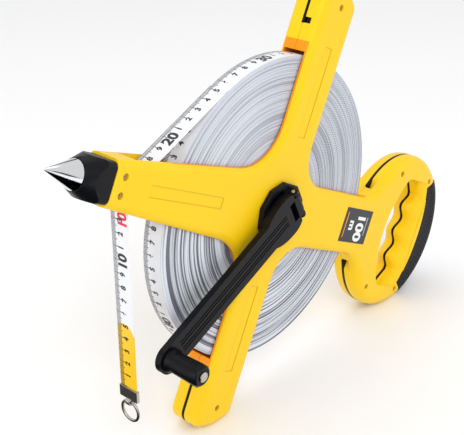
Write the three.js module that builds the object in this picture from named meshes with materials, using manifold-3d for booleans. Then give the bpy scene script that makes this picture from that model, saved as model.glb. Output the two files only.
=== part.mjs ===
// Open-reel surveyor's tape, 100 m, standing on one frame arm and its handle.
// Millimetres, +Z up, -Y the crank side. The reel is drawn about its hub, with
// X running from the ground spike to the handle, then tilted about the hub's
// axis until the handle and the foot of the lower arm stand on the floor.
import * as THREE from "three";
import { mergeVertices } from "three/addons/utils/BufferGeometryUtils.js";
import Module from "manifold-3d";

const wasm = await Module();
wasm.setup();

// ---------------------------------------------------------------- driving sizes
const GAP = 0.3; // between pieces that touch or run on each other
const TILT = THREE.MathUtils.degToRad(26); // of the reel, as it stands
const CURVE_STEPS = 8; // straight pieces in a rounded corner of an outline
const ROUND_STEPS = 32; // sides of a small round part

const TAPE_WIDTH = 16;
const TAPE_THICKNESS = 0.5;
const COIL_RADIUS = 116.4; // 100 m wound on the drum
const DRUM_RADIUS = 32;
const FLANGE_RADIUS = 44;
const FLANGE_THICKNESS = 1.8;
const COIL_SIDE_GAP = 1; // coil to frame plate, each side

const FRAME_DEPTH = 28; // front face to rear face
const EDGE_RADIAL = 7; // how far the arms' rounded edge reaches in from the outline
const EDGE_AXIAL = 5; // and back from the face
const HANDLE_EDGE_RADIAL = 11; // the same for the handle
const HANDLE_EDGE_AXIAL = 9;
const SHELL_WALL = 2.6;
const ARM_HALF_WIDTH = 21.5; // upper and lower arms
const HANDLE_ARM_HALF_WIDTH = 25;
const SPIKE_ARM_HALF_WIDTH = 15.5; // at the socket
const SPIKE_ARM_TAPER = 0.0905; // widening towards the hub
const SPIKE_CROTCH_RADIUS = 38; // between the arms, spike side
const HANDLE_CROTCH_RADIUS = 29; // and handle side
const ARM_END = 172; // flat end of the upper and lower arms, from the hub
const FOOT_CORNER_RADIUS = 9;
const COIL_RIM_GAP = 3.1; // coil to the bridges that join the frame halves

const HANDLE_CENTRE = 196.2;
const HANDLE_HALF_LENGTH = 66.2; // along X
const HANDLE_HALF_WIDTH = 70.5; // along Z
const OPENING_LEFT = 166.5;
const OPENING_LEFT_RADIUS = 79;
const OPENING_HALF_WIDTH = 50;
const GRIP_INNER = 212.5; // middle of the finger grooves
const GROOVE_DEPTH = 4.5;
const GROOVE_PITCH = 24.2;
const GRIP_BAND_INNER = 36.5; // half length of the oval that bounds the rubber
const GRIP_BAND_WIDTH = 64; // and its half width
const GRIP_WEDGE_APEX = 154.7;
const GRIP_WEDGE_ANGLE = THREE.MathUtils.degToRad(34.5);
const GRIP_THICKNESS = 2.2;
const GRIP_PROUD = 0.5;

const SOCKET_EDGE = -176; // where the black socket meets the shells
const SOCKET_HALF_HEIGHT = 13.8;
const SOCKET_CORNER = 4.5;
const SPIKE_BASE = -197;
const SPIKE_TIP = -220;
const SPIKE_RADIUS = 9.8;
const SPIKE_SHANK_RADIUS = 5;
const SOCKET_CONE_SLOPE = 0.54;
const TONGUE_END = -160;

const GUIDE_X = -149.5;
const GUIDE_Z = -6.5;
const GUIDE_RADIUS = 5;
const GUIDE_TO_EXIT = 10.3; // guide centre down to where the tape leaves the arm
const HANGING_LENGTH = 135.6; // zero mark to the arm

const CRANK_ANGLE = THREE.MathUtils.degToRad(-128.5);
const CRANK_THROW = 140; // hub axis to knob axis
const CRANK_THICKNESS = 7.1; // at the hub
const CRANK_BEAM_STEP = 2.2; // the rest is thinner from behind by this
const CRANK_ROOT_RADIUS = 17;
const CRANK_HALF_WIDTH = 11.4;
const CRANK_END_HALF_WIDTH = 10.7;
const CRANK_HUB_RADIUS = 24.5; // to the corners of the ten-sided disc
const CRANK_HUB_SIDES = 10;
const CRANK_HUB_THICKNESS = 4;
const CRANK_POCKET_RADIUS = 19.5;
const CRANK_POCKET_DEPTH = 2.6;
const HINGE_OFFSET = 14; // hub axis to hinge pin
const HINGE_PIN_RADIUS = 1.5;
const KNOB_LENGTH = 29;
const KNOB_RADIUS = 8;

const AXLE_RADIUS = 5;
const BUSH_RADIUS = 11;
const SCREW_HEAD_RADIUS = 2.2;
const SCREW_SHANK_RADIUS = 1.3;
const SCREW_RECESS = 1.2; // head below the surface
const CORE_THICKNESS = 2; // black insert in the parting line
const LABEL_LENGTH = 42;
const LABEL_WIDTH = 29;
const LABEL_CENTRE = 117;
const LABEL_THICKNESS = 0.5;

// ---------------------------------------------------------------- worked-out sizes
const faceY = -FRAME_DEPTH / 2;
const coilHalf = TAPE_WIDTH / 2 + 0.25;
const plateInner = coilHalf + COIL_SIDE_GAP;
const spoolFlangeInner = coilHalf + GAP;
const spoolFlangeOuter = spoolFlangeInner + FLANGE_THICKNESS;
const down = new THREE.Vector2(Math.sin(TILT), -Math.cos(TILT)); // in the reel's X, Z
// The handle side corner of the lower arm is cut to a foot that lies flat on
// the floor when the handle touches the floor too. The upper arm matches it.
const handleReach =
  HANDLE_CENTRE * down.x +
  Math.hypot(HANDLE_HALF_LENGTH * down.x, HANDLE_HALF_WIDTH * down.y);
const footAtSide = handleReach / Math.cos(TILT) - ARM_HALF_WIDTH * Math.tan(TILT);
const footStart = (handleReach / Math.cos(TILT) - ARM_END) / Math.tan(TILT);
const bridgeRadius = COIL_RADIUS + COIL_RIM_GAP;
const armCoreStart = bridgeRadius + 18;

// ---------------------------------------------------------------- small tools
function solid(geometry) {
  const bare = geometry.clone();
  bare.deleteAttribute("normal");
  bare.deleteAttribute("uv");
  const merged = mergeVertices(bare, 1e-4);
  return new wasm.Manifold(
    new wasm.Mesh({
      numProp: 3,
      vertProperties: merged.attributes.position.array,
      triVerts: new Uint32Array(merged.index.array),
    }),
  );
}

function geometryOf(body) {
  const mesh = body.getMesh();
  const geometry = new THREE.BufferGeometry();
  geometry.setAttribute("position", new THREE.BufferAttribute(mesh.vertProperties, 3));
  geometry.setIndex(new THREE.BufferAttribute(mesh.triVerts, 1));
  geometry.computeVertexNormals();
  return geometry;
}

// A shape drawn in X and Z, as a prism from y0 to y1.
function prism(shape, y0, y1, steps = CURVE_STEPS) {
  const geometry = new THREE.ExtrudeGeometry(shape, {
    depth: y1 - y0,
    bevelEnabled: false,
    curveSegments: steps,
  });
  return solid(geometry.rotateX(Math.PI / 2).translate(0, y1, 0));
}

// The same prism about y = 0, with both edges rounded. Offset moves the whole skin.
function rounded(shape, depth, radial, axial, offset = 0) {
  const geometry = new THREE.ExtrudeGeometry(shape, {
    depth: depth - 2 * axial + 2 * offset,
    bevelSize: radial,
    bevelThickness: axial,
    bevelOffset: offset - radial,
    bevelSegments: 4,
    curveSegments: CURVE_STEPS,
  });
  const half = (depth - 2 * axial) / 2 + offset;
  return solid(geometry.rotateX(Math.PI / 2).translate(0, half, 0));
}

function box(x0, x1, y0, y1, z0, z1) {
  const geometry = new THREE.BoxGeometry(x1 - x0, y1 - y0, z1 - z0);
  return solid(geometry.translate((x0 + x1) / 2, (y0 + y1) / 2, (z0 + z1) / 2));
}

// A cylinder along Y.
function rod(radius, y0, y1, x = 0, z = 0, sides = ROUND_STEPS) {
  const geometry = new THREE.CylinderGeometry(radius, radius, y1 - y0, sides);
  return solid(geometry.translate(x, (y0 + y1) / 2, z));
}

// A turned part on the Y axis, from [radius, y] pairs that go round its half
// section, starting and ending on the axis or at the first pair.
function turned(profile, sides = ROUND_STEPS) {
  const points = profile.map(([r, y]) => new THREE.Vector2(r, y));
  return solid(new THREE.LatheGeometry(points, sides));
}

function ring(inner, outer, y0, y1, sides = ROUND_STEPS) {
  return turned([[inner, y0], [outer, y0], [outer, y1], [inner, y1], [inner, y0]], sides);
}

// A closed skin over a row of rings that have the same number of points.
function lofted(rings) {
  const count = rings[0].length;
  const position = rings.flat().flatMap((p) => [p.x, p.y, p.z]);
  const index = [];
  for (let r = 0; r + 1 < rings.length; r++) {
    for (let i = 0; i < count; i++) {
      const a = r * count + i;
      const b = r * count + ((i + 1) % count);
      index.push(a, b, b + count, a, b + count, a + count);
    }
  }
  const last = (rings.length - 1) * count;
  for (let i = 1; i + 1 < count; i++) {
    index.push(0, i + 1, i, last, last + i, last + i + 1);
  }
  const geometry = new THREE.BufferGeometry();
  geometry.setAttribute("position", new THREE.Float32BufferAttribute(position, 3));
  geometry.setIndex(index);
  return solid(geometry);
}

// A closed outline through [x, z, radius] corners, each rounded by a true arc.
function cornered(corners) {
  const points = [];
  corners.forEach(([x, z, radius = 0], i) => {
    const here = new THREE.Vector2(x, z);
    if (radius === 0) {
      points.push(here);
      return;
    }
    const before = new THREE.Vector2(...corners[(i + corners.length - 1) % corners.length]);
    const after = new THREE.Vector2(...corners[(i + 1) % corners.length]);
    const into = here.clone().sub(before).normalize();
    const away = after.sub(here).normalize();
    const turn = Math.atan2(into.cross(away), into.dot(away));
    const start = here.clone().addScaledVector(into, -radius * Math.tan(Math.abs(turn) / 2));
    const toCentre = into.clone().rotateAround(new THREE.Vector2(), (Math.sign(turn) * Math.PI) / 2);
    const centre = start.clone().addScaledVector(toCentre, radius);
    const steps = Math.max(2, Math.round((CURVE_STEPS * Math.abs(turn)) / (Math.PI / 2)));
    for (let k = 0; k <= steps; k++) {
      points.push(start.clone().rotateAround(centre, (turn * k) / steps));
    }
  });
  return points;
}

// A shape from outline points, without any that fall on top of each other.
function shapeOf(points) {
  const kept = points.filter((p, i) => p.distanceTo(points[(i + 1) % points.length]) > 0.02);
  return new THREE.Shape(kept);
}

// Points on an ellipse centred on X, by its own angle, both ends included.
function ellipsePoints(centre, halfLength, halfWidth, from, to, steps) {
  return Array.from({ length: steps + 1 }, (_, k) => {
    const angle = THREE.MathUtils.lerp(from, to, k / steps);
    return new THREE.Vector2(centre + halfLength * Math.cos(angle), halfWidth * Math.sin(angle));
  });
}

function ellipseShape(centre, halfLength, halfWidth) {
  return shapeOf(ellipsePoints(centre, halfLength, halfWidth, 0, 2 * Math.PI, 72));
}

function mirrorZ(body) {
  return body.mirror([0, 0, 1]);
}

const reel = new THREE.Group(); // tilted with the frame
const plumb = new THREE.Group(); // what hangs straight down
const finishes = {
  yellow: { color: 0xf7cc12, roughness: 0.45, metalness: 0 },
  black: { color: 0x16171c, roughness: 0.5, metalness: 0 },
  rubber: { color: 0x24262d, roughness: 0.85, metalness: 0 },
  chrome: { color: 0xd6d8dc, roughness: 0.12, metalness: 1 },
  steel: { color: 0x9a9da3, roughness: 0.35, metalness: 1 },
  brass: { color: 0xb89552, roughness: 0.4, metalness: 1 },
  nylon: { color: 0xe6e3da, roughness: 0.55, metalness: 0 },
  tape: { color: 0xe9eaee, roughness: 0.5, metalness: 0 },
  label: { color: 0x1b1d2a, roughness: 0.4, metalness: 0 },
};

function part(name, body, finish, group = reel) {
  const mesh = new THREE.Mesh(geometryOf(body), new THREE.MeshStandardMaterial(finishes[finish]));
  mesh.name = name;
  group.add(mesh);
}

// ---------------------------------------------------------------- frame outline
const spikeArmHalf = (x) => SPIKE_ARM_HALF_WIDTH + SPIKE_ARM_TAPER * (x - SOCKET_EDGE);
const spikeEnd = SOCKET_EDGE - 12; // trimmed back to the socket afterwards
const neckStart = 116;
const neckAngle = THREE.MathUtils.degToRad(34); // where the neck runs into the handle
const neckEnd = new THREE.Vector2(
  HANDLE_CENTRE - HANDLE_HALF_LENGTH * Math.cos(neckAngle),
  HANDLE_HALF_WIDTH * Math.sin(neckAngle),
);
const neckPull = 13;
const neckTangent = new THREE.Vector2(
  HANDLE_HALF_LENGTH * Math.sin(neckAngle),
  HANDLE_HALF_WIDTH * Math.cos(neckAngle),
).normalize();

// The four arms. The handle arm flares and ends inside the handle.
function armsShape() {
  const w = ARM_HALF_WIDTH;
  const neck = new THREE.CubicBezierCurve(
    new THREE.Vector2(neckStart, HANDLE_ARM_HALF_WIDTH),
    new THREE.Vector2(neckStart + neckPull, HANDLE_ARM_HALF_WIDTH),
    neckEnd.clone().addScaledVector(neckTangent, -neckPull),
    neckEnd,
  ).getPoints(CURVE_STEPS);
  const upper = cornered([
    [HANDLE_CENTRE - 20, 0],
    [HANDLE_CENTRE - 20, neckEnd.y - 6],
    [neckEnd.x + 12, neckEnd.y],
    ...neck.reverse().map((p) => [p.x, p.y]),
    [w, HANDLE_ARM_HALF_WIDTH, HANDLE_CROTCH_RADIUS],
    [w, footAtSide, FOOT_CORNER_RADIUS],
    [footStart, ARM_END, FOOT_CORNER_RADIUS],
    [-w, ARM_END, FOOT_CORNER_RADIUS + 1],
    [-w, spikeArmHalf(-w), SPIKE_CROTCH_RADIUS],
    [spikeEnd, spikeArmHalf(spikeEnd)],
    [spikeEnd, 0],
  ]).filter((p) => p.y > 0.01);
  const lower = upper.map((p) => new THREE.Vector2(p.x, -p.y)).reverse();
  return shapeOf([...upper, ...lower]);
}

// The finger opening, a D that bulges towards the hub, grown by `grow` all round.
function openingShape(grow = 0) {
  const radius = OPENING_LEFT_RADIUS + grow;
  const centre = OPENING_LEFT + OPENING_LEFT_RADIUS;
  const half = OPENING_HALF_WIDTH + grow;
  const arcTop = half - 9;
  const angle = Math.asin(arcTop / radius);
  const right = GRIP_INNER + 14 + grow;
  const bulge = Array.from({ length: 17 }, (_, k) => {
    const a = THREE.MathUtils.lerp(Math.PI - angle, Math.PI + angle, k / 16);
    return [centre + radius * Math.cos(a), radius * Math.sin(a)];
  });
  const corner = bulge[0][0] + 6;
  return shapeOf(cornered([
    ...bulge, [corner, -half, 9], [right, -half, 14], [right, half, 14], [corner, half, 9],
  ]));
}

// The bar that the fingers close on: an oval section along Z, grooved for four
// fingers on the inside. The grooves fade towards the two faces.
function gripBar(offset = 0) {
  const rings = [];
  const halfSpan = OPENING_HALF_WIDTH + 6;
  const stepsAlong = 36;
  const stepsRound = 20;
  for (let k = 0; k <= stepsAlong; k++) {
    const z = halfSpan * ((2 * k) / stepsAlong - 1);
    const outer =
      HANDLE_CENTRE + HANDLE_HALF_LENGTH * Math.sqrt(1 - (z / HANDLE_HALF_WIDTH) ** 2) - 3;
    const end = Math.max(0, Math.abs(z) - 1.5 * GROOVE_PITCH);
    const inner = GRIP_INNER - end * 0.9;
    const wave = end > 0 ? GROOVE_DEPTH : -GROOVE_DEPTH * Math.cos((2 * Math.PI * z) / GROOVE_PITCH);
    const middle = (outer + inner) / 2;
    const half = (outer - inner) / 2 + offset;
    const loop = [];
    for (let i = 0; i < stepsRound; i++) {
      const t = (2 * Math.PI * i) / stepsRound;
      const c = Math.cos(t);
      const s = Math.sin(t);
      const fade = c < 0 ? Math.abs(c) ** 1.5 : 0;
      const x = middle + half * Math.sign(c) * Math.abs(c) ** 0.8 + wave * fade;
      const y = (FRAME_DEPTH / 2 + offset) * Math.sign(s) * Math.abs(s) ** 0.8;
      loop.push(new THREE.Vector3(x, y, z));
    }
    rings.push(loop);
  }
  return lofted(rings);
}

// ---------------------------------------------------------------- frame shells
const armsOutline = armsShape();
const handleOutline = ellipseShape(HANDLE_CENTRE, HANDLE_HALF_LENGTH, HANDLE_HALF_WIDTH);
function handleSkin(offset) {
  return rounded(handleOutline, FRAME_DEPTH, HANDLE_EDGE_RADIAL, HANDLE_EDGE_AXIAL, offset);
}
const skin = rounded(armsOutline, FRAME_DEPTH, EDGE_RADIAL, EDGE_AXIAL).add(handleSkin(0));
const opening = prism(openingShape(), -FRAME_DEPTH, FRAME_DEPTH);
let frame = skin.subtract(opening).add(gripBar());
frame = frame.subtract(box(spikeEnd - 9, SOCKET_EDGE + GAP, -40, 40, -40, 40));

// room for the coil, the drum's flanges and the tape's way out past the guide
const coilRoom = rod(bridgeRadius, -plateInner, plateInner, 0, 0, 96);
const guideRoomEnd = GUIDE_X - GUIDE_RADIUS - 4;
const tapeRoom = box(guideRoomEnd, -60, -plateInner, plateInner, -40, 40);
const flangeRoom = rod(FLANGE_RADIUS + 2, -spoolFlangeOuter - GAP, spoolFlangeOuter + GAP, 0, 0, 48);
frame = frame.subtract(coilRoom.add(tapeRoom).add(flangeRoom));

// the socket's tongue sits between the shells
const tongueHalfY = plateInner - 1;
const tongueHalfZ = SOCKET_HALF_HEIGHT - 3.5;
frame = frame.subtract(
  box(SOCKET_EDGE - 9, TONGUE_END + GAP, -tongueHalfY - GAP, tongueHalfY + GAP,
    -tongueHalfZ - GAP, tongueHalfZ + GAP),
);

// black insert in the parting line of the handle and of the two arm ends
const coreHalf = CORE_THICKNESS / 2;
const handleCoreStart = neckEnd.x - 4;
const beyondArm = 400;
const coreRoom = box(handleCoreStart - GAP, beyondArm, -coreHalf - GAP, coreHalf + GAP, -90, 90)
  .add(box(-60, 60, -coreHalf - GAP, coreHalf + GAP, armCoreStart - GAP, beyondArm))
  .add(box(-60, 60, -coreHalf - GAP, coreHalf + GAP, -beyondArm, -armCoreStart + GAP));
frame = frame.subtract(coreRoom);

// a dark window beside the parting line where each insert starts
const windowDepth = 6.5;
const windowHeight = 4.5;
const neckWindow = { x: neckEnd.x - 9, z: neckEnd.y - 7 };
const handleWindow = box(neckWindow.x, neckEnd.x + 1, -windowDepth, 0, neckWindow.z, neckEnd.y + 2);
const armWindowIn = 4; // how far the arm windows cut in from the sides
function armWindows(grow) {
  let windows = null;
  for (const side of [-1, 1]) {
    for (const end of [-1, 1]) {
      const x0 = side * (ARM_HALF_WIDTH - armWindowIn - grow);
      const x1 = side * (ARM_HALF_WIDTH + 2);
      const z0 = end * (armCoreStart - grow);
      const z1 = end * (armCoreStart + windowHeight + grow);
      const cut = box(
        Math.min(x0, x1), Math.max(x0, x1), -windowDepth - grow, coreHalf + grow,
        Math.min(z0, z1), Math.max(z0, z1),
      );
      windows = windows ? windows.add(cut) : cut;
    }
  }
  return windows;
}
frame = frame.subtract(handleWindow.add(mirrorZ(handleWindow)));
frame = frame.subtract(armWindows(0));

// hollow halves of the handle, with a post round each screw
const handleScrews = [[168, 52], [221, 52], [168, -52], [221, -52]];
const postRadius = 4.6;
const pocketInset = 4.6;
const pocketShape = ellipseShape(
  HANDLE_CENTRE, HANDLE_HALF_LENGTH - pocketInset, HANDLE_HALF_WIDTH - pocketInset,
);
const pocketY = FRAME_DEPTH / 2 - SHELL_WALL;
let pocket = prism(pocketShape, -pocketY, pocketY)
  .subtract(prism(openingShape(SHELL_WALL), -pocketY, pocketY))
  .subtract(box(GRIP_INNER - GROOVE_DEPTH - 2, 300, -20, 20, -80, 80))
  .subtract(box(0, handleCoreStart + 9, -20, 20, -80, 80));
for (const [x, z] of handleScrews) {
  pocket = pocket.subtract(rod(postRadius, -pocketY, pocketY, x, z));
}
frame = frame.subtract(pocket);

// rubber grip let into the outside of the handle bar
function gripRegion(grow) {
  const length = 150;
  const angle = GRIP_WEDGE_ANGLE + grow / 90;
  const wedge = new THREE.Shape();
  wedge.moveTo(GRIP_WEDGE_APEX, 0);
  wedge.lineTo(GRIP_WEDGE_APEX + length, -length * Math.tan(angle));
  wedge.lineTo(GRIP_WEDGE_APEX + length, length * Math.tan(angle));
  const inner = ellipseShape(HANDLE_CENTRE, GRIP_BAND_INNER - grow, GRIP_BAND_WIDTH - grow);
  return prism(wedge, -25, 25)
    .subtract(prism(inner, -26, 26))
    .intersect(box(HANDLE_CENTRE, 400, -30, 30, -100, 100));
}
frame = frame.subtract(gripRegion(GAP).subtract(handleSkin(-GRIP_THICKNESS - GAP)));
const grip = gripRegion(0)
  .intersect(handleSkin(GRIP_PROUD))
  .subtract(handleSkin(-GRIP_THICKNESS));

// hub bore with its bushes, guide pin seats, label recess, panel lines
frame = frame.subtract(rod(BUSH_RADIUS + GAP, -40, 40));
const pinSeatY = FRAME_DEPTH / 2 - SHELL_WALL + 0.4;
const guidePinRadius = 2;
frame = frame.subtract(rod(guidePinRadius + GAP, -pinSeatY, pinSeatY, GUIDE_X, GUIDE_Z));
const labelRecess = 0.5;
frame = frame.subtract(
  box(
    LABEL_CENTRE - LABEL_LENGTH / 2 - GAP, LABEL_CENTRE + LABEL_LENGTH / 2 + GAP,
    -20, faceY + labelRecess, -LABEL_WIDTH / 2 - GAP, LABEL_WIDTH / 2 + GAP,
  ),
);
const panelHalfWidth = 4;
const panelDepth = 0.4;
const armPanel = { from: 58, to: 126 };
const spikePanel = { from: -142, to: -68 };
for (const side of [-1, 1]) {
  const z = [side * armPanel.from, side * armPanel.to].sort((a, b) => a - b);
  for (const face of [-1, 1]) {
    const y = [face * (FRAME_DEPTH / 2 - panelDepth), face * 20].sort((a, b) => a - b);
    frame = frame.subtract(box(-panelHalfWidth, panelHalfWidth, ...y, ...z));
    if (side > 0) {
      frame = frame.subtract(
        box(spikePanel.from, spikePanel.to, ...y, -panelHalfWidth, panelHalfWidth),
      );
    }
  }
}

// screws go in from the front and stop inside the rear shell
const armScrewZ = ARM_END - 16;
const armScrews = [[0, armScrewZ], [0, -armScrewZ]];
const spikeScrewX = -167.5;
const spikeScrews = [[spikeScrewX, 6], [spikeScrewX, -6]];
const screwTip = FRAME_DEPTH / 2 - SHELL_WALL - 1;
const spikeScrewTip = tongueHalfY - 2;
const screwHead = faceY + SCREW_RECESS;
const screwHeadHeight = 2;
function screwHole(x, z, tip) {
  return rod(SCREW_HEAD_RADIUS + GAP, -20, screwHead + screwHeadHeight + GAP, x, z, 20)
    .add(rod(SCREW_SHANK_RADIUS + GAP, -20, tip + GAP, x, z, 12));
}
let holes = null;
for (const [x, z] of [...handleScrews, ...armScrews]) {
  const hole = screwHole(x, z, screwTip);
  holes = holes ? holes.add(hole) : hole;
}
for (const [x, z] of spikeScrews) {
  holes = holes.add(screwHole(x, z, spikeScrewTip));
}
frame = frame.subtract(holes);

const partingGap = GAP / 2;
part("front_shell", frame.intersect(box(-400, 400, -40, -partingGap, -400, 400)), "yellow");
part("rear_shell", frame.intersect(box(-400, 400, partingGap, 40, -400, 400)), "yellow");
part("rubber_grip", grip, "rubber");

// ---------------------------------------------------------------- black inserts
const coreOutline = prism(armsOutline, -coreHalf, coreHalf)
  .add(prism(handleOutline, -coreHalf, coreHalf));
const handleCore = coreOutline
  .intersect(box(handleCoreStart, 400, -5, 5, -90, 90))
  .subtract(opening)
  .add(gripBar().intersect(box(200, 300, -coreHalf, coreHalf, -80, 80)))
  .subtract(gripRegion(GAP).subtract(handleSkin(-GRIP_THICKNESS - GAP)))
  .subtract(holes);
part("handle_core", handleCore, "black");
for (const [name, end] of [["arm_core_top", 1], ["arm_core_bottom", -1]]) {
  const z = [end * armCoreStart, end * beyondArm].sort((a, b) => a - b);
  const tabs = armWindows(-GAP)
    .intersect(box(-60, 60, -40, 40, ...z))
    .intersect(box(-ARM_HALF_WIDTH + 1.6, ARM_HALF_WIDTH - 1.6, -40, 40, ...z));
  const core = coreOutline.intersect(box(-60, 60, -5, 5, ...z)).add(tabs).subtract(holes);
  part(name, core, "black");
}

// ---------------------------------------------------------------- spike end
const socketEnd = SPIKE_BASE + GAP;
const socketNose = SPIKE_RADIUS + 0.6;
const coneRadius = (x) => socketNose + SOCKET_CONE_SLOPE * (x - socketEnd);
const socketCone = turned([
  [0, socketEnd], [coneRadius(socketEnd), socketEnd],
  [coneRadius(SOCKET_EDGE), SOCKET_EDGE], [0, SOCKET_EDGE],
], 48).rotate([0, 0, -90]);
const h = SOCKET_HALF_HEIGHT;
const socketSection = shapeOf(cornered([
  [h, -h, SOCKET_CORNER], [h, h, SOCKET_CORNER], [-h, h, SOCKET_CORNER], [-h, -h, SOCKET_CORNER],
]));
const socketBlock = prism(socketSection, socketEnd - 1, SOCKET_EDGE + 1).rotate([0, 0, -90]);
const tongue = box(SOCKET_EDGE - 1, TONGUE_END, -tongueHalfY, tongueHalfY, -tongueHalfZ, tongueHalfZ);
const shankEnd = SOCKET_EDGE - 3;
const shankBore = rod(SPIKE_SHANK_RADIUS + GAP, socketEnd - 2, shankEnd + GAP).rotate([0, 0, -90]);
const socket = socketCone.intersect(socketBlock).add(tongue).subtract(shankBore).subtract(holes);
part("spike_socket", socket, "black");
const tipRadius = 0.5;
const spike = turned([
  [0, SPIKE_TIP], [tipRadius, SPIKE_TIP + 0.4], [SPIKE_RADIUS, SPIKE_BASE - 0.6],
  [SPIKE_RADIUS, SPIKE_BASE], [SPIKE_SHANK_RADIUS, SPIKE_BASE], [SPIKE_SHANK_RADIUS, shankEnd],
  [0, shankEnd],
], 40).rotate([0, 0, -90]);
part("spike", spike, "chrome");

// ---------------------------------------------------------------- screws
const crossRadius = SCREW_HEAD_RADIUS * 0.6;
function screw(name, x, z, tip) {
  const slot = 0.55;
  const body = turned([
    [0, screwHead], [SCREW_HEAD_RADIUS, screwHead],
    [SCREW_HEAD_RADIUS, screwHead + screwHeadHeight],
    [SCREW_SHANK_RADIUS, screwHead + screwHeadHeight], [SCREW_SHANK_RADIUS, tip - 1], [0, tip],
  ], 16)
    .subtract(box(-crossRadius, crossRadius, -20, screwHead + 0.8, -slot / 2, slot / 2))
    .subtract(box(-slot / 2, slot / 2, -20, screwHead + 0.8, -crossRadius, crossRadius));
  part(name, body.translate([x, 0, z]), "steel");
}
handleScrews.forEach(([x, z], i) => screw("handle_screw_" + (i + 1), x, z, screwTip));
armScrews.forEach(([x, z], i) => screw("arm_screw_" + (i + 1), x, z, screwTip));
spikeScrews.forEach(([x, z], i) => screw("spike_screw_" + (i + 1), x, z, spikeScrewTip));

// ---------------------------------------------------------------- label
part(
  "length_label",
  box(
    LABEL_CENTRE - LABEL_LENGTH / 2, LABEL_CENTRE + LABEL_LENGTH / 2,
    faceY + labelRecess - GAP - LABEL_THICKNESS, faceY + labelRecess - GAP,
    -LABEL_WIDTH / 2, LABEL_WIDTH / 2,
  ),
  "label",
);

// ---------------------------------------------------------------- drum and axle
const spoolBore = AXLE_RADIUS + GAP;
part("tape_coil", ring(DRUM_RADIUS + GAP, COIL_RADIUS, -coilHalf, coilHalf, 96), "tape");
part("drum_spool", turned([
  [spoolBore, -coilHalf], [DRUM_RADIUS, -coilHalf], [DRUM_RADIUS, spoolFlangeInner],
  [FLANGE_RADIUS, spoolFlangeInner], [FLANGE_RADIUS, spoolFlangeOuter],
  [spoolBore, spoolFlangeOuter], [spoolBore, -coilHalf],
], 48), "black");
const stemRadius = BUSH_RADIUS - 2 - GAP;
part("drum_flange", ring(spoolBore, FLANGE_RADIUS, -spoolFlangeOuter, -spoolFlangeInner, 48), "black");
const bushInner = stemRadius + GAP;
part("front_bush", ring(bushInner, BUSH_RADIUS, faceY, -spoolFlangeOuter - GAP), "nylon");
part("rear_bush", ring(bushInner, BUSH_RADIUS, spoolFlangeOuter + GAP, -faceY), "nylon");
const axleEnd = -faceY - 1;
part("axle", rod(AXLE_RADIUS, faceY + 2, axleEnd), "steel");

// rear retainer: a stepped cap that turns with the drum, held by a screw
const retainerRadius = 17;
const retainerThickness = 2.6;
const retainerScrewRadius = 4;
const retainer = turned([
  [0, axleEnd + GAP], [spoolBore, axleEnd + GAP], [spoolBore, spoolFlangeOuter + GAP],
  [stemRadius, spoolFlangeOuter + GAP], [stemRadius, -faceY + GAP],
  [retainerRadius, -faceY + GAP], [retainerRadius - 1.5, -faceY + GAP + retainerThickness],
  [0, -faceY + GAP + retainerThickness],
], 40).subtract(rod(SCREW_SHANK_RADIUS + GAP, 0, 30, 0, 0, 12));
part("rear_retainer", retainer, "black");
const rearScrewSeat = -faceY + 2 * GAP + retainerThickness;
part("rear_screw", turned([
  [0, axleEnd + GAP / 2], [SCREW_SHANK_RADIUS, axleEnd + GAP / 2],
  [SCREW_SHANK_RADIUS, rearScrewSeat], [retainerScrewRadius, rearScrewSeat],
  [retainerScrewRadius - 0.8, rearScrewSeat + 1.6], [0, rearScrewSeat + 1.6],
], 24), "steel");

// ---------------------------------------------------------------- crank
// Drawn with the arm along +X from the hub axis, then turned to its angle.
const hubBack = faceY - 0.4;
const hubFront = hubBack - CRANK_HUB_THICKNESS;
const armBack = hubFront - GAP;
const beamBack = armBack - CRANK_BEAM_STEP;
const armFront = armBack - CRANK_THICKNESS;
const hingeY = (armBack + armFront) / 2;
const barrelRadius = CRANK_THICKNESS / 2;
const hingeX = -HINGE_OFFSET;
const turnCrank = [0, THREE.MathUtils.radToDeg(-CRANK_ANGLE), 0];

const discShape = new THREE.Shape();
for (let i = 0; i < CRANK_HUB_SIDES; i++) {
  const angle = ((i + 0.5) * 2 * Math.PI) / CRANK_HUB_SIDES;
  const x = CRANK_HUB_RADIUS * Math.cos(angle);
  const z = CRANK_HUB_RADIUS * Math.sin(angle);
  if (i === 0) discShape.moveTo(x, z);
  else discShape.lineTo(x, z);
}
const earInner = Math.sqrt(CRANK_ROOT_RADIUS ** 2 - HINGE_OFFSET ** 2) + GAP;
const earOuter = earInner + 3;
const pocketEdge = hingeX + barrelRadius + 2;
const hubPocket = rod(CRANK_POCKET_RADIUS, hubFront - 5, hubFront + CRANK_POCKET_DEPTH, 0, 0, 40)
  .intersect(box(pocketEdge, 60, -40, 0, -40, 40));
function ear(side) {
  const z = [side * earInner, side * earOuter].sort((a, b) => a - b);
  const post = box(hingeX - barrelRadius, hingeX + barrelRadius, hingeY, hubFront + 1, ...z);
  const cap = solid(
    new THREE.CylinderGeometry(barrelRadius, barrelRadius, 3, 24).rotateX(Math.PI / 2)
      .translate(hingeX, hingeY, (z[0] + z[1]) / 2),
  );
  return post.add(cap);
}
const pinBore = solid(
  new THREE.CylinderGeometry(HINGE_PIN_RADIUS + GAP, HINGE_PIN_RADIUS + GAP, 60, 16)
    .rotateX(Math.PI / 2).translate(hingeX, hingeY, 0),
);
const hubScrewRadius = 3.6;
const hubScrewHeight = 1.8;
const pocketFloor = hubFront + CRANK_POCKET_DEPTH;
const crankHub = prism(discShape, hubFront, hubBack)
  .add(rod(stemRadius, hubBack - 1, -spoolFlangeOuter - GAP))
  .subtract(rod(spoolBore, faceY + 2 - GAP, 0))
  .subtract(rod(SCREW_SHANK_RADIUS + GAP, -40, 0, 0, 0, 12))
  .subtract(hubPocket)
  .add(ear(1))
  .add(ear(-1))
  .subtract(pinBore);
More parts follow.
